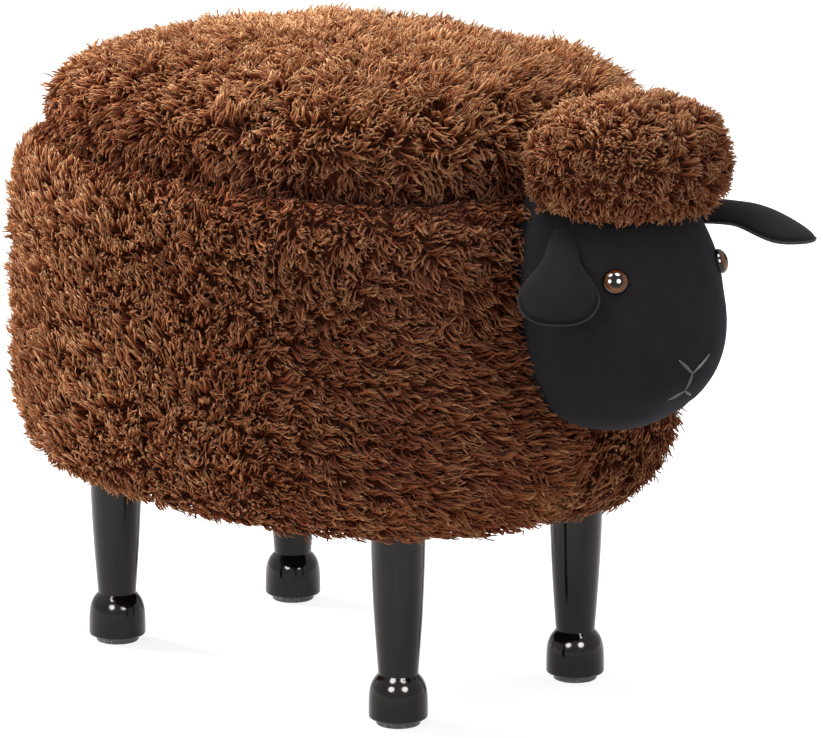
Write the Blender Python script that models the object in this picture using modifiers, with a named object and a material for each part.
# Animal footstool: a plush sheep on four turned legs, with a storage tub under a lift-off padded lid.
# The sheep faces -Y, +Z is up and the feet stand on z = 0. All lengths are metres.
# Heights count from the floor. Insets count inwards from the outside of the tub's plush.

import math

import bmesh
import bpy
from mathutils import Matrix, Vector
from mathutils.bvhtree import BVHTree

# Fits between pieces
GAP = 0.0003
MERGE = 0.0001
OVERRUN = 0.002

# Outline of the tub, a rounded oval
TUB_HALF_WIDTH = 0.186
TUB_HALF_LENGTH = 0.234
OUTLINE_POWER = 2.7
OUTLINE_POINTS = 40

# Plush round the tub
TUB_BOTTOM = 0.134
TUB_HEIGHT = 0.227
PLUSH_THICKNESS = 0.020
UNDER_PLUSH = 0.0185
RIM_PLUSH = 0.0025
BOTTOM_CORNER_IN = 0.034
BOTTOM_CORNER_UP = 0.076
SHOULDER_IN = 0.014
SHOULDER_DOWN = 0.046
PLUSH_WRAP = 0.012
WRAP_EDGE = 0.004
BOTTOM_CORNER_STEPS = 5
SHOULDER_STEPS = 4

# Wooden shell and padding of the tub
BASE_THICKNESS = 0.015
WALL_THICKNESS = 0.008
WALL_FOAM = 0.012
RING_THICKNESS = 0.012
LINING_THICKNESS = 0.0012
LINING_CORNER = 0.008
LINING_CORNER_STEPS = 2
DUST_COVER_THICKNESS = 0.001

# Legs, which stand on an oval inside the tub's, at the same turn from its sides
LEG_INSET = 0.0634
LEG_TURN = math.radians(53.8)
LEG_TOP_RADIUS = 0.0187
ANKLE_RADIUS = 0.0135
ANKLE_HEIGHT = 0.0345
FOOT_RADIUS = 0.020
FOOT_TAPER = 0.0010
SHOULDER_HEIGHT = 0.0215
FOOT_EDGE = 0.0018
SHOULDER_START_SHARE = 0.28
FOOT_STEPS = 5
LEG_STEPS = 20

# Glides under the feet
GLIDE_RADIUS = 0.015
GLIDE_THICKNESS = 0.0042
GLIDE_EDGE = 0.0012
GLIDE_NAIL_RADIUS = 0.0014
GLIDE_NAIL_LENGTH = 0.014

# Hanger bolts and the T-nuts in the base board
BOLT_RADIUS = 0.004
BOLT_IN_LEG = 0.032
BOLT_CHAMFER = 0.0008
NUT_BARREL_RADIUS = 0.0052
NUT_BARREL_LENGTH = 0.0105
NUT_FLANGE_RADIUS = 0.0115
NUT_FLANGE = 0.0015
BOLT_STEPS = 12
NUT_STEPS = 14

# Lid
LID_INSET = 0.018
LID_SIDE_HEIGHT = 0.0307
LID_CROWN = 0.049
LID_EDGE_IN = 0.007
LID_EDGE_UP = 0.010
LID_EDGE_STEPS = 2
LID_LIP = 0.0027
LID_BOARD_THICKNESS = 0.012
LID_PLUSH = 0.018
LID_FOAM_DROP = 0.006
CROWN_POWER = 2.15
CROWN_SIZE_SHARES = (0.965, 0.88, 0.72, 0.48, 0.2)
UNDER_CLOTH = 0.0008
LOCATOR_THICKNESS = 0.013
LOCATOR_CLEARANCE = 0.003

# Screws that hold the locator
SCREW_HEAD_RADIUS = 0.004
SCREW_RADIUS = 0.002
SCREW_HEAD_DEPTH = 0.0025
SCREW_LENGTH = 0.022
SCREW_ACROSS_SHARE = 0.52
SCREW_ALONG_SHARE = 0.62
SCREW_STEPS = 12

# Head
HEAD_HALF_WIDTH = 0.073
HEAD_HALF_HEIGHT = 0.084
HEAD_HALF_DEPTH = 0.080
HEAD_BELOW_RIM = 0.066
HEAD_STAND_OFF = 0.016
HEAD_POWER = 2.6
MUZZLE_REACH = 0.011
MUZZLE_HEIGHT_SHARE = -0.38
MUZZLE_SPREAD_SHARE = 0.42
CHIN_NARROW_SHARE = 0.20
BROW_BACK_SHARE = 0.16
HEAD_ROUND = 24
HEAD_LONG = 14
SKIN_THICKNESS = 0.0018
FILLING_GAP = 0.0008

# Board in the back of the head, and its bolts
HEAD_BOARD_HALF_WIDTH = 0.040
HEAD_BOARD_HALF_HEIGHT = 0.052
HEAD_BOARD_THICKNESS = 0.012
HEAD_BOARD_POINTS = 28
HEAD_BOLT_SPACING = 0.060
HEAD_BOLT_RADIUS = 0.003
HEAD_BOLT_HEAD_RADIUS = 0.0085
HEAD_BOLT_HEAD = 0.0024
HEAD_NUT_BARREL_RADIUS = 0.0041
HEAD_NUT_BARREL_LENGTH = 0.0085
HEAD_NUT_FLANGE_RADIUS = 0.0095
HEAD_NUT_FLANGE = 0.0013

# Wool cap on the head
CAP_HALF_WIDTH = 0.074
CAP_HALF_DEPTH = 0.058
CAP_HALF_HEIGHT = 0.0455
CAP_STAND_OFF = 0.042
CAP_RISE = 0.0965
CAP_POWER = 2.3
CAP_ROUND = 24
CAP_LONG = 12

# Ears
EAR_LENGTH = 0.092
EAR_HALF_WIDTH = 0.027
EAR_THICKNESS = 0.008
EAR_CUP = 0.006
EAR_SIDE = 0.068
EAR_FORWARD = 0.026
EAR_RISE = 0.064
EAR_SUNK = 0.006
EAR_SEAT_SLACK = 0.0012
EAR_HEADING = math.radians(39)
EAR_ROOT_TILT = math.radians(6)
EAR_TIP_TILTS = {"right": math.radians(-82), "left": math.radians(-42)}
EAR_WIDTH_SHARES = (0.42, 0.55, 0.80, 0.97, 1.0, 0.84, 0.46)
EAR_ACROSS = 4
EAR_SMOOTHING = 1

# Safety eyes
EYE_RADIUS = 0.0085
EYE_DOME = 0.0060
EYE_STEM_RADIUS = 0.0020
EYE_STEM_LENGTH = 0.012
EYE_STANDING = 0.0007
EYE_TURN = math.radians(37)
EYE_RISE = math.radians(20)
WASHER_RADIUS = 0.0062
WASHER_THICKNESS = 0.0016
WASHER_SLACK = 0.0022
EYE_STEPS = 16
EYE_RINGS = 4

# Tail
TAIL_HALF_WIDTH = 0.021
TAIL_HALF_DEPTH = 0.024
TAIL_HALF_LENGTH = 0.038
TAIL_BELOW_RIM = 0.073
TAIL_STAND_OFF = 0.004
TAIL_TAPER_SHARE = 0.35
TAIL_ROUND = 14
TAIL_LONG = 8

# Heights, places and insets worked out from the sizes above
TUB_TOP = TUB_BOTTOM + TUB_HEIGHT
HEAD_HEIGHT = TUB_TOP - HEAD_BELOW_RIM
CAP_HEIGHT = HEAD_HEIGHT + CAP_RISE
TAIL_HEIGHT = TUB_TOP - TAIL_BELOW_RIM
BASE_BOTTOM = TUB_BOTTOM + UNDER_PLUSH + GAP
BASE_TOP = BASE_BOTTOM + BASE_THICKNESS
RING_TOP = TUB_TOP - RIM_PLUSH - GAP
RING_BOTTOM = RING_TOP - RING_THICKNESS
NUT_TOP = BASE_TOP + GAP + NUT_FLANGE
LINING_BOTTOM = NUT_TOP + GAP
FOAM_INSET = PLUSH_THICKNESS + GAP
WALL_INSET = FOAM_INSET + WALL_FOAM + GAP
CAVITY_INSET = WALL_INSET + WALL_THICKNESS
LINING_INSET = CAVITY_INSET + HEAD_BOLT_HEAD + GAP + GAP
OPENING_INSET = LINING_INSET + LINING_THICKNESS
LID_BOTTOM = TUB_TOP + GAP
LID_SIDE_TOP = LID_BOTTOM + LID_SIDE_HEIGHT
LID_TOP = LID_SIDE_TOP + LID_CROWN
LID_FOAM_SIDE_TOP = LID_SIDE_TOP - LID_FOAM_DROP
LID_BOARD_BOTTOM = LID_BOTTOM + LID_LIP + GAP
LID_BOARD_TOP = LID_BOARD_BOTTOM + LID_BOARD_THICKNESS
LID_BOARD_INSET = LID_INSET + LID_PLUSH + GAP
LID_FOAM_TOP = LID_TOP - LID_PLUSH - GAP
UNDER_CLOTH_BOTTOM = LID_BOARD_BOTTOM - GAP - UNDER_CLOTH
LOCATOR_TOP = UNDER_CLOTH_BOTTOM - GAP
LOCATOR_BOTTOM = LOCATOR_TOP - LOCATOR_THICKNESS
LOCATOR_INSET = OPENING_INSET + LOCATOR_CLEARANCE
LEG_TOP = BASE_BOTTOM - GAP

QUARTER_TURN = math.pi / 2
FULL_TURN = math.pi * 2
SOFT_EDGE = math.radians(50)


def clear_scene():
    for item in list(bpy.data.objects):
        bpy.data.objects.remove(item, do_unlink=True)


def new_collection(name):
    collection = bpy.data.collections.new(name)
    bpy.context.scene.collection.children.link(collection)
    return collection


def make_material(name, colour, roughness, metallic=0.0):
    material = bpy.data.materials.new(name)
    material.use_nodes = True
    shader = material.node_tree.nodes["Principled BSDF"]
    shader.inputs["Base Color"].default_value = (*colour, 1.0)
    shader.inputs["Roughness"].default_value = roughness
    shader.inputs["Metallic"].default_value = metallic
    return material


class Kit:
    """The materials, collections and centre that the parts share."""

    def __init__(self):
        self.parts = new_collection("animal_footstool")
        self.cutters = new_collection("cutters")
        self.centre = bpy.data.objects.new("stool_centre", None)
        self.parts.objects.link(self.centre)
        self.plush = make_material("brown_plush", (0.155, 0.056, 0.020), 0.95)
        self.black_cloth = make_material("black_cloth", (0.012, 0.012, 0.014), 0.9)
        self.head_cloth = make_material("charcoal_cloth", (0.016, 0.016, 0.019), 0.85)
        self.foam = make_material("foam", (0.80, 0.74, 0.55), 0.95)
        self.fibre = make_material("white_fibre", (0.85, 0.85, 0.83), 0.95)
        self.plywood = make_material("plywood", (0.60, 0.42, 0.24), 0.6)
        self.lacquer = make_material("black_lacquer", (0.008, 0.008, 0.009), 0.22)
        self.glide_plastic = make_material("grey_plastic", (0.045, 0.045, 0.048), 0.5)
        self.zinc = make_material("zinc_steel", (0.62, 0.63, 0.64), 0.35, 1.0)
        self.eye_gloss = make_material("amber_eye", (0.10, 0.035, 0.006), 0.12)
        self.white_plastic = make_material("white_plastic", (0.75, 0.75, 0.73), 0.5)


def signed_power(value, power):
    return math.copysign(abs(value) ** power, value)


def oval_point(inset, turn):
    """The point of the tub's rounded oval, drawn in by the inset, at this turn from its left side."""
    across = signed_power(math.cos(turn), 2 / OUTLINE_POWER)
    along = signed_power(math.sin(turn), 2 / OUTLINE_POWER)
    return (TUB_HALF_WIDTH - inset) * across, (TUB_HALF_LENGTH - inset) * along


def outline(inset, size_share=1.0):
    """Points of the tub's rounded oval, with a flat facet at its front, back and sides."""
    turns = (FULL_TURN * (step + 0.5) / OUTLINE_POINTS for step in range(OUTLINE_POINTS))
    places = (oval_point(inset, turn) for turn in turns)
    return [(x * size_share, y * size_share) for x, y in places]


def front_face(inset):
    """How far forward the flat facet at the front lies."""
    return max(along for _, along in outline(inset))


def quarter_ellipse(reach_in, rise, steps):
    """Shares of a quarter ellipse, as (in, up) pairs from its side to its end."""
    for step in range(steps + 1):
        turn = QUARTER_TURN * step / steps
        yield reach_in * (1 - math.cos(turn)), rise * math.sin(turn)


def add_part(kit, name, mesh, material, smooth):
    """Links a mesh as a part. smooth is the angle under which its edges are shaded round."""
    mesh.shade_smooth()
    mesh.set_sharp_from_angle(angle=smooth)
    mesh.materials.append(material)
    item = bpy.data.objects.new(name, mesh)
    kit.parts.objects.link(item)
    item.parent = kit.centre
    return item


def add_turned(kit, name, mesh, steps, place):
    """A turned part, standing upright at its place."""
    item = bpy.data.objects.new(name, mesh)
    kit.parts.objects.link(item)
    item.parent = kit.centre
    item.location = place
    turn_profile(item, steps)
    return item


def mesh_from(bm, name):
    bmesh.ops.recalc_face_normals(bm, faces=bm.faces)
    mesh = bpy.data.meshes.new(name)
    bm.to_mesh(mesh)
    bm.free()
    return mesh


def add_ring(bm, inset, height, size_share=1.0):
    return [bm.verts.new((x, y, height)) for x, y in outline(inset, size_share)]


def bridge(bm, lower, upper):
    """Quads between two rings, which all start at the same point of the outline."""
    for a, b, c, d in zip(lower, lower[1:] + lower[:1], upper[1:] + upper[:1], upper):
        bm.faces.new((a, b, c, d))


def oval_loft(name, sections, closed_section=False, cap_first=True):
    """A body swept round the oval outline. A section is (inset, height) or (inset, height, size share)."""
    bm = bmesh.new()
    rings = [add_ring(bm, *section) for section in sections]
    for lower, upper in zip(rings, rings[1:]):
        bridge(bm, lower, upper)
    if closed_section:
        bridge(bm, rings[-1], rings[0])
    else:
        bm.faces.new(rings[-1])
        if cap_first:
            bm.faces.new(rings[0])
    return mesh_from(bm, name)


def turned(name, profile, material=None, closed=False):
    """Profile points (radius, height) for a Screw modifier, running down the outer side."""
    bm = bmesh.new()
    verts = [bm.verts.new((radius, 0, height)) for radius, height in profile]
    pairs = list(zip(verts, verts[1:]))
    if closed:
        pairs.append((verts[-1], verts[0]))
    for pair in pairs:
        bm.edges.new(pair)
    mesh = bpy.data.meshes.new(name)
    bm.to_mesh(mesh)
    bm.free()
    if material is not None:
        mesh.materials.append(material)
    return mesh


def turn_profile(item, steps):
    screw = item.modifiers.new("Turn", "SCREW")
    screw.steps = steps
    screw.render_steps = steps
    screw.use_merge_vertices = True
    screw.merge_threshold = MERGE
    screw.use_smooth_shade = False


def add_flat(kit, name, outlines, thickness, height, material):
    """A flat board or cloth: outlines filled as a 2D curve, where an inner one is a hole."""
    curve = bpy.data.curves.new(name, "CURVE")
    curve.dimensions = "2D"
    curve.fill_mode = "BOTH"
    curve.extrude = thickness / 2
    for points in outlines:
        spline = curve.splines.new("POLY")
        spline.points.add(len(points) - 1)
        for point, (x, y) in zip(spline.points, points):
            point.co = (x, y, 0, 1)
        spline.use_cyclic_u = True
    curve.materials.append(material)
    item = bpy.data.objects.new(name, curve)
    kit.parts.objects.link(item)
    item.parent = kit.centre
    item.location.z = height + thickness / 2
    return item


def to_mesh_object(item):
    """The same object with its curve made a welded mesh, so that it can be cut."""
    bpy.context.view_layer.update()
    graph = bpy.context.evaluated_depsgraph_get()
    mesh = bpy.data.meshes.new_from_object(item.evaluated_get(graph))
    bm = bmesh.new()
    bm.from_mesh(mesh)
    bmesh.ops.remove_doubles(bm, verts=bm.verts, dist=MERGE)
    bm.to_mesh(mesh)
    bm.free()
    name, parent, place = item.name, item.parent, item.matrix_basis.copy()
    collection = item.users_collection[0]
    bpy.data.objects.remove(item)
    solid = bpy.data.objects.new(name, mesh)
    collection.objects.link(solid)
    solid.parent = parent
    solid.matrix_basis = place
    return solid


def circle(centre_x, centre_y, radius, steps):
    turns = (FULL_TURN * step / steps for step in range(steps))
    return [(centre_x + radius * math.cos(turn), centre_y + radius * math.sin(turn)) for turn in turns]


def cut(item, cutter, operation="DIFFERENCE"):
    boolean = item.modifiers.new("Cut by " + cutter.name, "BOOLEAN")
    boolean.operation = operation
    boolean.object = cutter


def add_cutter(kit, name, mesh):
    item = bpy.data.objects.new(name, mesh)
    kit.cutters.objects.link(item)
    item.parent = kit.centre
    item.hide_render = True
    item.display_type = "WIRE"
    return item


def leg_places():
    across, along = oval_point(LEG_INSET, LEG_TURN)
    for end, y in (("front", -along), ("rear", along)):
        for side, x in (("left", across), ("right", -across)):
            yield end + "_" + side, x, y


def tub_side(first_inset=0.0):
    """Outer side of the plush, from the underside up to the rim, as (inset, height) pairs."""
    points = []
    for inset, rise in quarter_ellipse(BOTTOM_CORNER_IN, BOTTOM_CORNER_UP, BOTTOM_CORNER_STEPS):
        points.append((first_inset + inset, TUB_BOTTOM + BOTTOM_CORNER_UP - rise))
    points.reverse()
    for inset, rise in quarter_ellipse(SHOULDER_IN, SHOULDER_DOWN, SHOULDER_STEPS):
        points.append((first_inset + inset, TUB_TOP - SHOULDER_DOWN + rise))
    return points


def build_tub_cover(kit):
    wrap_inset = WALL_INSET + PLUSH_WRAP
    section = [(wrap_inset, BASE_BOTTOM - GAP - WRAP_EDGE)]
    section += tub_side()
    section += [
        (OPENING_INSET, TUB_TOP),
        (OPENING_INSET, RING_TOP + GAP),
        (PLUSH_THICKNESS, RING_TOP + GAP),
        (PLUSH_THICKNESS, BASE_BOTTOM - GAP),
        (wrap_inset, BASE_BOTTOM - GAP),
    ]
    mesh = oval_loft("tub_cover", section, closed_section=True)
    return add_part(kit, "tub_cover", mesh, kit.plush, SOFT_EDGE)


def build_wall(kit):
    foam_top = RING_BOTTOM - GAP
    foam = [
        (FOAM_INSET, BASE_BOTTOM),
        (FOAM_INSET, foam_top),
        (FOAM_INSET + WALL_FOAM, foam_top),
        (FOAM_INSET + WALL_FOAM, BASE_BOTTOM),
    ]
    panel = [
        (WALL_INSET, BASE_TOP + GAP),
        (WALL_INSET, foam_top),
        (CAVITY_INSET, foam_top),
        (CAVITY_INSET, BASE_TOP + GAP),
    ]
    foam_mesh = oval_loft("wall_foam", foam, closed_section=True)
    panel_mesh = oval_loft("wall_panel", panel, closed_section=True)
    foam_item = add_part(kit, "wall_foam", foam_mesh, kit.foam, SOFT_EDGE)
    panel_item = add_part(kit, "wall_panel", panel_mesh, kit.plywood, SOFT_EDGE)
    return foam_item, panel_item


def build_top_ring(kit):
    outlines = [outline(FOAM_INSET), outline(OPENING_INSET)]
    add_flat(kit, "top_ring", outlines, RING_THICKNESS, RING_BOTTOM, kit.plywood)


def build_base_board(kit):
    hole_radius = NUT_BARREL_RADIUS + GAP
    holes = [circle(x, y, hole_radius, NUT_STEPS) for _, x, y in leg_places()]
    outlines = [outline(WALL_INSET)] + holes
    add_flat(kit, "base_board", outlines, BASE_THICKNESS, BASE_BOTTOM, kit.plywood)


def build_dust_cover(kit):
    hole_radius = LEG_TOP_RADIUS + GAP
    holes = [circle(x, y, hole_radius, LEG_STEPS) for _, x, y in leg_places()]
    outlines = [outline(WALL_INSET + PLUSH_WRAP + GAP)] + holes
    bottom = BASE_BOTTOM - GAP - DUST_COVER_THICKNESS
    add_flat(kit, "base_dust_cover", outlines, DUST_COVER_THICKNESS, bottom, kit.black_cloth)


def build_tub_lining(kit):
    """A cloth cup that hangs from the top ring and lies on the T-nuts."""
    section = [(LINING_INSET, RING_BOTTOM - GAP)]
    for inset, drop in quarter_ellipse(LINING_CORNER, LINING_CORNER, LINING_CORNER_STEPS):
        section.append((LINING_INSET + inset, LINING_BOTTOM + LINING_CORNER - drop))
    mesh = oval_loft("tub_lining", section, cap_first=False)
    item = add_part(kit, "tub_lining", mesh, kit.black_cloth, SOFT_EDGE)
    shell = item.modifiers.new("Cloth", "SOLIDIFY")
    shell.thickness = LINING_THICKNESS
    shell.offset = -1
    shell.use_even_offset = True


def leg_profile():
    """From the bolt hole in the leg's top, down the outside, to the glide nail's hole."""
    bore_radius = BOLT_RADIUS + GAP
    bore_floor = LEG_TOP - BOLT_IN_LEG - GAP
    nail_radius = GLIDE_NAIL_RADIUS + GAP
    nail_end = GLIDE_THICKNESS + GAP + GLIDE_NAIL_LENGTH
    profile = [(0, bore_floor), (bore_radius, bore_floor), (bore_radius, LEG_TOP)]
    profile += [(LEG_TOP_RADIUS, LEG_TOP), (ANKLE_RADIUS, ANKLE_HEIGHT)]
    start = math.asin(SHOULDER_START_SHARE)
    swell = (FOOT_RADIUS - FOOT_TAPER - ANKLE_RADIUS) / (1 - SHOULDER_START_SHARE)
    drop = (ANKLE_HEIGHT - SHOULDER_HEIGHT) / math.cos(start)
    for step in range(1, FOOT_STEPS + 1):
        turn = start + (QUARTER_TURN - start) * step / FOOT_STEPS
        radius = ANKLE_RADIUS + swell * (math.sin(turn) - SHOULDER_START_SHARE)
        profile.append((radius, SHOULDER_HEIGHT + drop * math.cos(turn)))
    bottom = GLIDE_THICKNESS + GAP
    profile += [
        (FOOT_RADIUS, bottom + FOOT_EDGE),
        (FOOT_RADIUS - FOOT_EDGE, bottom),
        (nail_radius, bottom),
        (nail_radius, nail_end),
        (0, nail_end),
    ]
    return profile


def glide_profile():
    nail_top = GLIDE_THICKNESS + GLIDE_NAIL_LENGTH
    return [
        (0, nail_top),
        (GLIDE_NAIL_RADIUS, nail_top - GLIDE_NAIL_RADIUS),
        (GLIDE_NAIL_RADIUS, GLIDE_THICKNESS),
        (GLIDE_RADIUS, GLIDE_THICKNESS),
        (GLIDE_RADIUS, GLIDE_EDGE),
        (GLIDE_RADIUS - GLIDE_EDGE, 0),
        (0, 0),
    ]


def rod_profile(radius, bottom, top, chamfer):
    return [
        (0, top),
        (radius - chamfer, top),
        (radius, top - chamfer),
        (radius, bottom + chamfer),
        (radius - chamfer, bottom),
        (0, bottom),
    ]


def nut_profile(bore_radius, barrel_radius, barrel_length, flange_radius, flange):
    """A T-nut standing on its barrel: the flange's underside is at height zero."""
    return [
        (bore_radius, flange),
        (flange_radius, flange),
        (flange_radius, 0),
        (barrel_radius, 0),
        (barrel_radius, -barrel_length),
        (bore_radius, -barrel_length),
    ]


def build_legs(kit):
    bolt = rod_profile(BOLT_RADIUS, LEG_TOP - BOLT_IN_LEG, NUT_TOP, BOLT_CHAMFER)
    nut = nut_profile(
        BOLT_RADIUS + GAP, NUT_BARREL_RADIUS, NUT_BARREL_LENGTH, NUT_FLANGE_RADIUS, NUT_FLANGE
    )
    leg_mesh = turned("leg", leg_profile(), kit.lacquer)
    glide_mesh = turned("glide", glide_profile(), kit.glide_plastic)
    bolt_mesh = turned("hanger_bolt", bolt, kit.zinc)
    nut_mesh = turned("t_nut", nut, kit.zinc, closed=True)
    for place, across, along in leg_places():
        add_turned(kit, "leg_" + place, leg_mesh, LEG_STEPS, (across, along, 0))
        add_turned(kit, "glide_" + place, glide_mesh, LEG_STEPS, (across, along, 0))
        add_turned(kit, "hanger_bolt_" + place, bolt_mesh, BOLT_STEPS, (across, along, 0))
        add_turned(kit, "t_nut_" + place, nut_mesh, NUT_STEPS, (across, along, BASE_TOP + GAP))


def crown(half_inset, side_top, top):
    """Sections of a crowned top: the outline shrinks while the height climbs."""
    for share in CROWN_SIZE_SHARES:
        climb = (1 - share**CROWN_POWER) ** (1 / CROWN_POWER)
        yield half_inset, side_top + (top - side_top) * climb, share


def build_lid_cover(kit):
    """Plush over the foam and board, turned under the board's edge."""
    edge = []
    for inset, rise in quarter_ellipse(LID_EDGE_IN, LID_EDGE_UP, LID_EDGE_STEPS):
        edge.append((LID_INSET + inset, LID_BOTTOM + LID_EDGE_UP - rise))
    section = [(OPENING_INSET, LID_BOTTOM)] + edge[::-1]
    section.append((LID_INSET, LID_SIDE_TOP))
    section += crown(LID_INSET, LID_SIDE_TOP, LID_TOP)
    inner_inset = LID_INSET + LID_PLUSH
    inside = [(OPENING_INSET, LID_BOARD_BOTTOM - GAP), (inner_inset, LID_BOARD_BOTTOM - GAP)]
    inside.append((inner_inset, LID_FOAM_SIDE_TOP))
    inside += crown(inner_inset, LID_FOAM_SIDE_TOP, LID_FOAM_TOP + GAP)
    bm = bmesh.new()
    rings = [add_ring(bm, *part) for part in section]
    inner_rings = [add_ring(bm, *part) for part in inside]
    for family in (rings, inner_rings):
        for lower, upper in zip(family, family[1:]):
            bridge(bm, lower, upper)
        bm.faces.new(family[-1])
    bridge(bm, rings[0], inner_rings[0])
    mesh = mesh_from(bm, "lid_cover")
    return add_part(kit, "lid_cover", mesh, kit.plush, SOFT_EDGE)


def build_lid_foam(kit):
    inset = LID_BOARD_INSET
    section = [(inset, LID_BOARD_TOP + GAP), (inset, LID_FOAM_SIDE_TOP - GAP)]
    section += crown(inset, LID_FOAM_SIDE_TOP - GAP, LID_FOAM_TOP)
    mesh = oval_loft("lid_foam", section)
    add_part(kit, "lid_foam", mesh, kit.foam, SOFT_EDGE)


def screw_profile(clearance):
    """A countersunk screw pointing up, with its head's face at height zero."""
    tip = SCREW_LENGTH + clearance
    return [
        (0, tip),
        (SCREW_RADIUS + clearance, tip - SCREW_RADIUS),
        (SCREW_RADIUS + clearance, SCREW_HEAD_DEPTH),
        (SCREW_HEAD_RADIUS + clearance, -clearance),
        (0, -clearance),
    ]


def build_lid_boards(kit):
    layers = (
        ("lid_board", LID_BOARD_INSET, LID_BOARD_THICKNESS, LID_BOARD_BOTTOM, kit.plywood),
        ("lid_under_cloth", OPENING_INSET + GAP, UNDER_CLOTH, UNDER_CLOTH_BOTTOM, kit.black_cloth),
        ("lid_locator", LOCATOR_INSET, LOCATOR_THICKNESS, LOCATOR_BOTTOM, kit.plywood),
    )
    plates = []
    for name, inset, thickness, bottom, material in layers:
        plate = add_flat(kit, name, [outline(inset)], thickness, bottom, material)
        plates.append(to_mesh_object(plate))
    screw_mesh = turned("locator_screw", screw_profile(0), kit.zinc)
    hole_mesh = turned("screw_hole", screw_profile(GAP))
    across = (TUB_HALF_WIDTH - LOCATOR_INSET) * SCREW_ACROSS_SHARE
    along = (TUB_HALF_LENGTH - LOCATOR_INSET) * SCREW_ALONG_SHARE
    corners = ((-across, -along), (across, -along), (-across, along), (across, along))
    for number, (x, y) in enumerate(corners, start=1):
        place = (x, y, LOCATOR_BOTTOM)
        add_turned(kit, f"locator_screw_{number}", screw_mesh, SCREW_STEPS, place)
        hole = add_cutter(kit, f"screw_hole_{number}", hole_mesh)
        hole.location = place
        turn_profile(hole, SCREW_STEPS)
        for plate in plates:
            cut(plate, hole)


def swollen_ball(round_steps, long_steps):
    """A unit ball whose poles lie along Y."""
    bm = bmesh.new()
    bmesh.ops.create_uvsphere(bm, u_segments=round_steps, v_segments=long_steps, radius=1)
    bmesh.ops.rotate(bm, verts=bm.verts, matrix=Matrix.Rotation(QUARTER_TURN, 3, "X"))
    return bm


def squared(direction, power):
    """The point of a boxier ball in the same direction as this point of a unit ball."""
    size = sum(abs(value) ** power for value in direction)
    return direction * size ** (-1 / power)


def head_centre():
    return Vector((0, -(TUB_HALF_LENGTH + HEAD_STAND_OFF), HEAD_HEIGHT))


def head_point(direction):
    """A point of the head's surface: a wide brow, a narrower chin and a soft muzzle."""
    unit = squared(direction, HEAD_POWER)
    down = min(1, max(0, (1 - unit.z) / 2))
    width = HEAD_HALF_WIDTH * (1 - CHIN_NARROW_SHARE * down**2)
    front = max(0, -unit.y)
    reach = HEAD_HALF_DEPTH * (1 - BROW_BACK_SHARE * max(0, unit.z) * front)
    off_muzzle = (unit.z - MUZZLE_HEIGHT_SHARE) / MUZZLE_SPREAD_SHARE
    muzzle = MUZZLE_REACH * front**2 * math.exp(-(off_muzzle**2))
    return Vector((width * unit.x, reach * unit.y - muzzle, HEAD_HALF_HEIGHT * unit.z))


def head_ball(inset=0.0):
    """The head's closed surface, moved inwards by the inset."""
    bm = swollen_ball(HEAD_ROUND, HEAD_LONG)
    for vert in bm.verts:
        vert.co = head_centre() + head_point(vert.co)
    bmesh.ops.recalc_face_normals(bm, faces=bm.faces)
    bm.normal_update()
    moved = [vert.co - vert.normal * inset for vert in bm.verts]
    for vert, place in zip(bm.verts, moved):
        vert.co = place
    return bm


def build_tub_block(kit):
    """The tub's outside and the lid's way up, as one closed cutter for what is sewn against the tub."""
    section = tub_side(-GAP)
    section.append((section[-1][0], LID_TOP + OVERRUN))
    mesh = oval_loft("tub_block", section)
    return add_cutter(kit, "tub_block", mesh)


def build_head(kit, tub_block):
    skin_mesh = mesh_from(head_ball(), "head_skin")
    skin = add_part(kit, "head_skin", skin_mesh, kit.head_cloth, QUARTER_TURN)
    shell = skin.modifiers.new("Cloth", "SOLIDIFY")
    shell.thickness = SKIN_THICKNESS
    shell.offset = -1
    cut(skin, tub_block)
    filling_mesh = mesh_from(head_ball(SKIN_THICKNESS + FILLING_GAP), "head_filling")
    filling = add_part(kit, "head_filling", filling_mesh, kit.fibre, QUARTER_TURN)
    cut(filling, build_filling_back(kit))
    head_block = add_cutter(kit, "head_block", mesh_from(head_ball(-GAP), "head_block"))
    return skin, filling, head_block


def head_board_back():
    return -(front_face(0) + GAP)


def build_filling_back(kit):
    """A block behind the face of the head's T-nuts, which leaves the filling flat there."""
    face = head_board_back() - HEAD_BOARD_THICKNESS - HEAD_NUT_FLANGE - GAP - GAP
    depth = TUB_HALF_LENGTH
    bm = bmesh.new()
    bmesh.ops.create_cube(bm, size=depth)
    bmesh.ops.translate(bm, verts=bm.verts, vec=(0, face + depth / 2, HEAD_HEIGHT))
    return add_cutter(kit, "filling_back", mesh_from(bm, "filling_back"))


def oval_points(half_width, half_height, count):
    turns = (FULL_TURN * step / count for step in range(count))
    return [(half_width * math.cos(turn), half_height * math.sin(turn)) for turn in turns]


def build_head_board(kit):
    outlines = [oval_points(HEAD_BOARD_HALF_WIDTH, HEAD_BOARD_HALF_HEIGHT, HEAD_BOARD_POINTS)]
    hole_radius = HEAD_NUT_BARREL_RADIUS + GAP
    for _, rise in head_bolt_places():
        outlines.append(circle(0, rise, hole_radius, NUT_STEPS))
    board = add_flat(kit, "head_back_board", outlines, HEAD_BOARD_THICKNESS, 0, kit.plywood)
    board.rotation_euler.x = QUARTER_TURN
    board.location = (0, head_board_back() - HEAD_BOARD_THICKNESS / 2, HEAD_HEIGHT)


def head_bolt_places():
    return (("upper", HEAD_BOLT_SPACING / 2), ("lower", -HEAD_BOLT_SPACING / 2))


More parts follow.
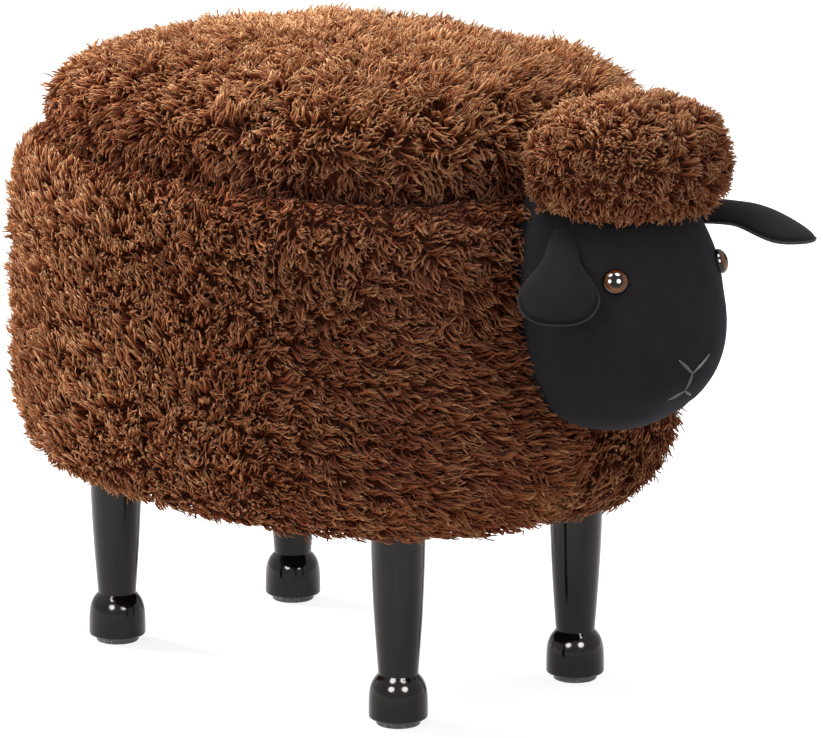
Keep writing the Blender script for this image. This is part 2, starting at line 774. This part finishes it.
def head_bolt_profile(length):
    """A flat-headed bolt: its head lies under height zero and its shank runs up."""
    return [
        (0, length),
        (HEAD_BOLT_RADIUS, length),
        (HEAD_BOLT_RADIUS, 0),
        (HEAD_BOLT_HEAD_RADIUS, 0),
        (HEAD_BOLT_HEAD_RADIUS, -HEAD_BOLT_HEAD),
        (0, -HEAD_BOLT_HEAD),
    ]


def hole_profile(radius, bottom, top):
    return [(0, top), (radius, top), (radius, bottom), (0, bottom)]


def build_head_bolts(kit, layers):
    """Bolts from inside the tub, through wall, foam and plush, into T-nuts in the head's board."""
    seat = -(front_face(CAVITY_INSET) - GAP)
    nut_face = head_board_back() - HEAD_BOARD_THICKNESS - GAP
    length = seat - nut_face + HEAD_NUT_FLANGE
    bolt_mesh = turned("head_bolt", head_bolt_profile(length), kit.zinc)
    nut = nut_profile(
        HEAD_BOLT_RADIUS + GAP,
        HEAD_NUT_BARREL_RADIUS,
        HEAD_NUT_BARREL_LENGTH,
        HEAD_NUT_FLANGE_RADIUS,
        HEAD_NUT_FLANGE,
    )
    nut_mesh = turned("head_t_nut", nut, kit.zinc, closed=True)
    hole = hole_profile(HEAD_BOLT_RADIUS + GAP, -OVERRUN, length)
    hole_mesh = turned("head_bolt_hole", hole)
    for place, rise in head_bolt_places():
        height = HEAD_HEIGHT + rise
        bolt = add_turned(kit, "head_bolt_" + place, bolt_mesh, BOLT_STEPS, (0, seat, height))
        held = add_turned(kit, "head_t_nut_" + place, nut_mesh, NUT_STEPS, (0, nut_face, height))
        bore = add_cutter(kit, "head_bolt_hole_" + place, hole_mesh)
        bore.location = (0, seat, height)
        turn_profile(bore, BOLT_STEPS)
        for item in (bolt, held, bore):
            item.rotation_euler.x = QUARTER_TURN
        for layer in layers:
            cut(layer, bore)


def build_cap(kit, head_block, tub_block):
    bm = swollen_ball(CAP_ROUND, CAP_LONG)
    centre = Vector((0, -(TUB_HALF_LENGTH + CAP_STAND_OFF), CAP_HEIGHT))
    size = Vector((CAP_HALF_WIDTH, CAP_HALF_DEPTH, CAP_HALF_HEIGHT))
    for vert in bm.verts:
        vert.co = centre + squared(vert.co, CAP_POWER) * size
    cap = add_part(kit, "wool_cap", mesh_from(bm, "wool_cap"), kit.plush, QUARTER_TURN)
    cut(cap, head_block)
    cut(cap, tub_block)
    return cap


def head_surface():
    """The head's surface as a tree that rays can be cast on."""
    bm = head_ball()
    tree = BVHTree.FromBMesh(bm)
    bm.free()
    return tree


def ear_mesh(name, side_sign, tip_tilt):
    """A leaf-shaped pad that leaves the head, droops along its length and is cupped across it."""
    rows = len(EAR_WIDTH_SHARES) - 1
    bm = bmesh.new()
    bmesh.ops.create_grid(bm, x_segments=EAR_ACROSS, y_segments=rows, size=0.5)
    heading = Vector((side_sign * math.cos(EAR_HEADING), -math.sin(EAR_HEADING), 0))
    across = Vector((-side_sign * heading.y, side_sign * heading.x, 0))
    centre_line = [Vector((0, 0, 0))]
    tilts = []
    for row in range(rows + 1):
        tilt = EAR_ROOT_TILT + (tip_tilt - EAR_ROOT_TILT) * row / rows
        step = heading * math.cos(tilt) + Vector((0, 0, math.sin(tilt)))
        tilts.append(step.cross(across).normalized())
        centre_line.append(centre_line[-1] + step * EAR_LENGTH / rows)
    for vert in bm.verts:
        row = round((vert.co.y + 0.5) * rows)
        wide = vert.co.x * 2
        spread = EAR_HALF_WIDTH * EAR_WIDTH_SHARES[row] * wide
        sag = -EAR_CUP * EAR_WIDTH_SHARES[row] * wide**2
        normal = tilts[row]
        if normal.z < 0:
            normal = -normal
        vert.co = centre_line[row] + across * spread + normal * sag
    return mesh_from(bm, name)


def pad_out(item, thickness):
    """Gives a sheet its thickness and rounds it off."""
    pad = item.modifiers.new("Pad", "SOLIDIFY")
    pad.thickness = thickness
    pad.offset = 0
    smooth = item.modifiers.new("Smooth", "SUBSURF")
    smooth.levels = EAR_SMOOTHING
    smooth.render_levels = EAR_SMOOTHING


def build_ears(kit, head_block, cap):
    tree = head_surface()
    for side, sign in (("left", 1), ("right", -1)):
        direction = Vector((sign * EAR_SIDE, -EAR_FORWARD, EAR_RISE)).normalized()
        place, normal, _, _ = tree.ray_cast(head_centre(), direction)
        name = "ear_" + side
        mesh = ear_mesh(name, sign, EAR_TIP_TILTS[side])
        ear = add_part(kit, name, mesh, kit.head_cloth, QUARTER_TURN)
        seat = add_cutter(kit, "ear_seat_" + side, mesh.copy())
        for item, slack in ((ear, 0), (seat, EAR_SEAT_SLACK)):
            item.location = place - normal * EAR_SUNK
            pad_out(item, EAR_THICKNESS + slack)
        cut(ear, head_block)
        cut(cap, seat)


def eye_profile():
    """A domed eye on a stem, with the dome's back at height zero."""
    profile = []
    for step in range(EYE_RINGS + 1):
        turn = QUARTER_TURN * step / EYE_RINGS
        profile.append((EYE_RADIUS * math.sin(turn), EYE_DOME * math.cos(turn)))
    profile += [(EYE_STEM_RADIUS, 0), (EYE_STEM_RADIUS, -EYE_STEM_LENGTH), (0, -EYE_STEM_LENGTH)]
    return profile


def washer_profile():
    bore = EYE_STEM_RADIUS + GAP
    return [
        (bore, WASHER_THICKNESS),
        (WASHER_RADIUS, WASHER_THICKNESS),
        (WASHER_RADIUS, 0),
        (bore, 0),
    ]


def eye_pocket_profile(washer_height):
    """The room that the washer and the stem take in the filling, with the dome's back at height zero."""
    washer_room = WASHER_RADIUS + GAP
    stem_room = EYE_STEM_RADIUS + GAP
    stem_end = -(EYE_STEM_LENGTH + GAP)
    return [
        (0, 0),
        (washer_room, 0),
        (washer_room, washer_height - GAP),
        (stem_room, washer_height - GAP),
        (stem_room, stem_end),
        (0, stem_end),
    ]


def build_eyes(kit, skin, filling):
    tree = head_surface()
    washer_height = -(EYE_STANDING + SKIN_THICKNESS + WASHER_SLACK + WASHER_THICKNESS)
    eye_data = turned("eye", eye_profile(), kit.eye_gloss)
    washer_data = turned("eye_washer", washer_profile(), kit.white_plastic, closed=True)
    stem_hole = hole_profile(EYE_STEM_RADIUS + GAP, -(EYE_STEM_LENGTH + GAP), 0)
    stem_data = turned("eye_stem_hole", stem_hole)
    pocket_data = turned("eye_pocket", eye_pocket_profile(washer_height))
    for side, sign in (("left", 1), ("right", -1)):
        level = math.cos(EYE_RISE)
        ahead = level * math.cos(EYE_TURN)
        direction = Vector((sign * level * math.sin(EYE_TURN), -ahead, math.sin(EYE_RISE)))
        place, normal, _, _ = tree.ray_cast(head_centre(), direction)
        front = place + normal * EYE_STANDING
        behind = front + normal * washer_height
        eye = add_turned(kit, "eye_" + side, eye_data, EYE_STEPS, front)
        washer = add_turned(kit, "eye_washer_" + side, washer_data, EYE_STEPS, behind)
        stem = add_cutter(kit, "eye_stem_hole_" + side, stem_data)
        pocket = add_cutter(kit, "eye_pocket_" + side, pocket_data)
        for cutter in (stem, pocket):
            cutter.location = front
            turn_profile(cutter, EYE_STEPS)
        for item in (eye, washer, stem, pocket):
            item.rotation_mode = "QUATERNION"
            item.rotation_quaternion = normal.to_track_quat("Z", "Y")
        cut(skin, stem)
        cut(filling, pocket)


def build_tail(kit, tub_block):
    bm = bmesh.new()
    bmesh.ops.create_uvsphere(bm, u_segments=TAIL_ROUND, v_segments=TAIL_LONG, radius=1)
    centre = Vector((0, TUB_HALF_LENGTH + TAIL_STAND_OFF, TAIL_HEIGHT))
    for vert in bm.verts:
        slim = 1 - TAIL_TAPER_SHARE * (1 + vert.co.z) / 2
        size = Vector((TAIL_HALF_WIDTH * slim, TAIL_HALF_DEPTH * slim, TAIL_HALF_LENGTH))
        vert.co = centre + vert.co * size
    tail = add_part(kit, "tail", mesh_from(bm, "tail"), kit.plush, QUARTER_TURN)
    cut(tail, tub_block)


def stand_on_origin(kit):
    """Moves the whole stool along Y, so that the origin is under the middle of its box."""
    bpy.context.view_layer.update()
    graph = bpy.context.evaluated_depsgraph_get()
    along = []
    for item in kit.parts.objects:
        if item.type != "EMPTY":
            shape = item.evaluated_get(graph)
            along += [(item.matrix_world @ vert.co).y for vert in shape.to_mesh().vertices]
            shape.to_mesh_clear()
    kit.centre.location.y = -(min(along) + max(along)) / 2
    bpy.context.view_layer.update()


def main():
    clear_scene()
    kit = Kit()
    tub_cover = build_tub_cover(kit)
    foam, panel = build_wall(kit)
    build_top_ring(kit)
    build_base_board(kit)
    build_dust_cover(kit)
    build_tub_lining(kit)
    build_legs(kit)
    build_lid_cover(kit)
    build_lid_foam(kit)
    build_lid_boards(kit)
    tub_block = build_tub_block(kit)
    skin, filling, head_block = build_head(kit, tub_block)
    build_head_board(kit)
    build_head_bolts(kit, (tub_cover, foam, panel))
    cap = build_cap(kit, head_block, tub_block)
    build_ears(kit, head_block, cap)
    build_eyes(kit, skin, filling)
    build_tail(kit, tub_block)
    stand_on_origin(kit)
    print(f"stool centre is {kit.centre.location.y * 1000:.2f} mm along Y")


main()
